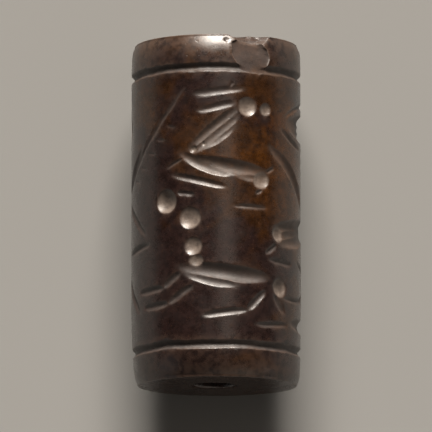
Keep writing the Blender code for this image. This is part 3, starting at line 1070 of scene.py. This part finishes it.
# %% Floor
FLOOR_REACH = 3.0
PAPER = (0.258, 0.258, 0.252, 1.0)
floor_mesh = bpy.data.meshes.new("floor")
plane = bmesh.new()
bmesh.ops.create_grid(plane, x_segments=1, y_segments=1, size=FLOOR_REACH)
plane.to_mesh(floor_mesh)
plane.free()
floor = bpy.data.objects.new("floor", floor_mesh)
bpy.context.scene.collection.objects.link(floor)
paper = bpy.data.materials.new("pale_paper")
paper.use_nodes = True
paper_shader = paper.node_tree.nodes["Principled BSDF"]
paper_shader.inputs["Base Color"].default_value = PAPER
paper_shader.inputs["Roughness"].default_value = 0.9
paper_shader.inputs["Specular IOR Level"].default_value = 0.0
floor_mesh.materials.append(paper)
print(f"floor {2 * FLOOR_REACH:.0f} m across")

# %% [markdown]
# ## The light
#
# Carving this shallow only reads in light that rakes along it. So the key is one softbox low
# over the upper end: walls of the cuts that face it glint, and those behind stay dark. The
# room is dark overhead, because a polished wall would mirror a bright ceiling as a grey veil,
# and pale near the horizon, where it only shows as a soft backdrop and a faint glow on the
# seal's limbs. The key stands three metres off and is wide in proportion, so that the floor
# is lit evenly. A weak lamp high on the right draws the long sheen down the wall, a weak lamp
# low on either side draws a thin light edge, and a wide dim fill on the side away from the
# key keeps the rest of the stone from going black.

# %% Studio room: pale at the horizon, dark overhead
ROOM_PALE = 0.16
ROOM_DARK = 0.016
ROOM_FADE = 0.10
ROOM_TINT = (1.0, 0.97, 0.93)

world = bpy.data.worlds.new("studio")
world.use_nodes = True
room = world.node_tree
way_out = room.nodes.new("ShaderNodeTexCoord").outputs["Generated"]
split = room.nodes.new("ShaderNodeSeparateXYZ")
fade = room.nodes.new("ShaderNodeMapRange")
fade.interpolation_type = "SMOOTHSTEP"
fade.inputs["From Max"].default_value = ROOM_FADE
fade.inputs["To Min"].default_value = ROOM_PALE
fade.inputs["To Max"].default_value = ROOM_DARK
room.links.new(way_out, split.inputs["Vector"])
room.links.new(split.outputs["Z"], fade.inputs["Value"])
room.links.new(fade.outputs["Result"], room.nodes["Background"].inputs["Strength"])
room.nodes["Background"].inputs["Color"].default_value = (*ROOM_TINT, 1.0)
bpy.context.scene.world = world
print("room strength from", ROOM_DARK, "overhead to", ROOM_PALE, "at the horizon")

# %% Softboxes
middle = Vector((0.0, 0.0, AXIS_HEIGHT * MM))


def softbox(name, azimuth, elevation, distance, size, power, tint=ROOM_TINT):
    """Square soft light that looks at the seal from the direction given, in degrees."""
    turn, rise = math.radians(azimuth), math.radians(elevation)
    level = math.cos(rise)
    way = Vector((math.sin(turn) * level, math.cos(turn) * level, math.sin(rise)))
    lamp = bpy.data.lights.new(name, "AREA")
    lamp.shape = "SQUARE"
    lamp.size = size
    lamp.energy = power
    lamp.color = tint
    box = bpy.data.objects.new(name, lamp)
    box.location = middle + way * distance
    box.rotation_euler = way.to_track_quat("Z", "Y").to_euler()
    bpy.context.scene.collection.objects.link(box)
    print(f"{name}: {size} m wide, {distance} m off")


softbox("key", azimuth=0, elevation=30, distance=3.0, size=1.41, power=274,
        tint=(1.0, 0.92, 0.83))
softbox("sheen", azimuth=60, elevation=74, distance=0.42, size=0.15, power=0.072,
        tint=(1.0, 0.85, 0.72))
softbox("right_edge", azimuth=110, elevation=14, distance=0.5, size=0.15, power=0.05)
softbox("left_edge", azimuth=-112, elevation=16, distance=0.5, size=0.2, power=0.04,
        tint=(0.93, 0.97, 1.0))
softbox("fill", azimuth=160, elevation=16, distance=0.8, size=1.0, power=1.7,
        tint=(1.0, 0.87, 0.74))

bpy.context.scene.view_settings.view_transform = "Standard"

# %% [markdown]
# ## The camera
#
# The camera looks down on the carved front, a few degrees from the lower end's side. It has a
# long lens and stands far off, so that the two edges of the wall are seen almost from the
# side, as the engraver's flat picture needs, and the ends don't seem to draw together.

# %% Camera
CAMERA_RISE = math.radians(81.5)
CAMERA_DISTANCE = 0.63
FOCAL_LENGTH = 600.0
NEAREST_SEEN = 0.01

lens = bpy.data.cameras.new("camera")
lens.lens = FOCAL_LENGTH
lens.clip_start = NEAREST_SEEN
camera = bpy.data.objects.new("camera", lens)
look = Vector((0.0, -math.cos(CAMERA_RISE), math.sin(CAMERA_RISE)))
camera.location = middle + look * CAMERA_DISTANCE
camera.rotation_euler = look.to_track_quat("Z", "Y").to_euler()
bpy.context.scene.collection.objects.link(camera)
bpy.context.scene.camera = camera
print(f"camera {CAMERA_DISTANCE} m off, {math.degrees(CAMERA_RISE):.1f} degrees up")
